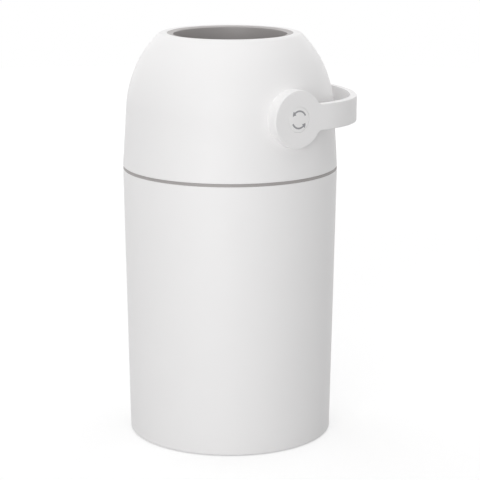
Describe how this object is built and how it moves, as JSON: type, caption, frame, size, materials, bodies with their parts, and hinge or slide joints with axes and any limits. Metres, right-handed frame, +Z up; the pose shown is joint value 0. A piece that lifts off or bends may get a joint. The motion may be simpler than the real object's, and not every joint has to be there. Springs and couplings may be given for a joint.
{
  "type": "nappy bin",
  "caption": "Tall tapered pail with a domed head, an open round mouth and a swinging strap handle that turns a ball-shaped drum to drop nappies into the pail.",
  "frame": {"origin": "centre of the base, on the floor that the non-slip ring stands on", "axes": "+Z up along the bin's centre line, +X along the drum's axle, +Y the side that the handle lies on at rest"},
  "size_m": [0.2364, 0.2446, 0.4294],
  "materials": {
    "white_shell": "satin moulded polypropylene",
    "white_inner": "plain moulded polypropylene",
    "collar_grey": "satin moulded plastic",
    "ring_grey": "satin moulded plastic",
    "cup_grey": "smooth moulded plastic",
    "bearing_plastic": "machined acetal",
    "rubber": "soft matt",
    "steel": "zinc plated"
  },
  "bodies": {
    "bin": {"bin_body": "white_shell", "non_slip_ring": "rubber"},
    "bag_ring": {"bag_ring": "ring_grey"},
    "gasket": {"seam_gasket": "rubber"},
    "head": {"dome_shell": "white_shell", "collar": "collar_grey", "collar_screws": "steel", "upper_seal": "rubber", "head_base": "white_inner", "head_screws": "steel", "lower_seal": "rubber", "seal_retainer": "ring_grey", "retainer_screws": "steel", "bush_right": "bearing_plastic", "bush_left": "bearing_plastic"},
    "drum": {"drum_upper_shell": "white_inner", "drum_lower_shell": "white_inner", "drum_cup": "cup_grey", "cup_tube": "cup_grey", "drum_screws": "steel", "axle_right": "bearing_plastic", "axle_left": "bearing_plastic", "axle_o_rings": "rubber", "axle_nuts": "steel", "handle": "white_shell", "handle_washers": "steel", "handle_screws": "steel", "hub_cap_right": "white_shell", "hub_cap_left": "white_shell"}
  },
  "joints": [
    {"name": "bag_ring_lift", "type": "slide", "parent": "bin", "child": "bag_ring", "axis": [0, 0, 1], "range_m": [0, 0.05]},
    {"name": "head_twist", "type": "hinge", "parent": "bag_ring", "child": "gasket", "pos_m": [0, 0, 0.2879], "axis": [0, 0, 1], "range_deg": [0, 22]},
    {"name": "head_lift", "type": "slide", "parent": "gasket", "child": "head", "axis": [0, 0, 1], "range_m": [0, 0.12]},
    {"name": "drum_turn", "type": "hinge", "parent": "head", "child": "drum", "pos_m": [0, 0, 0.352], "axis": [1, 0, 0], "range_deg": [0, 180]}
  ]
}
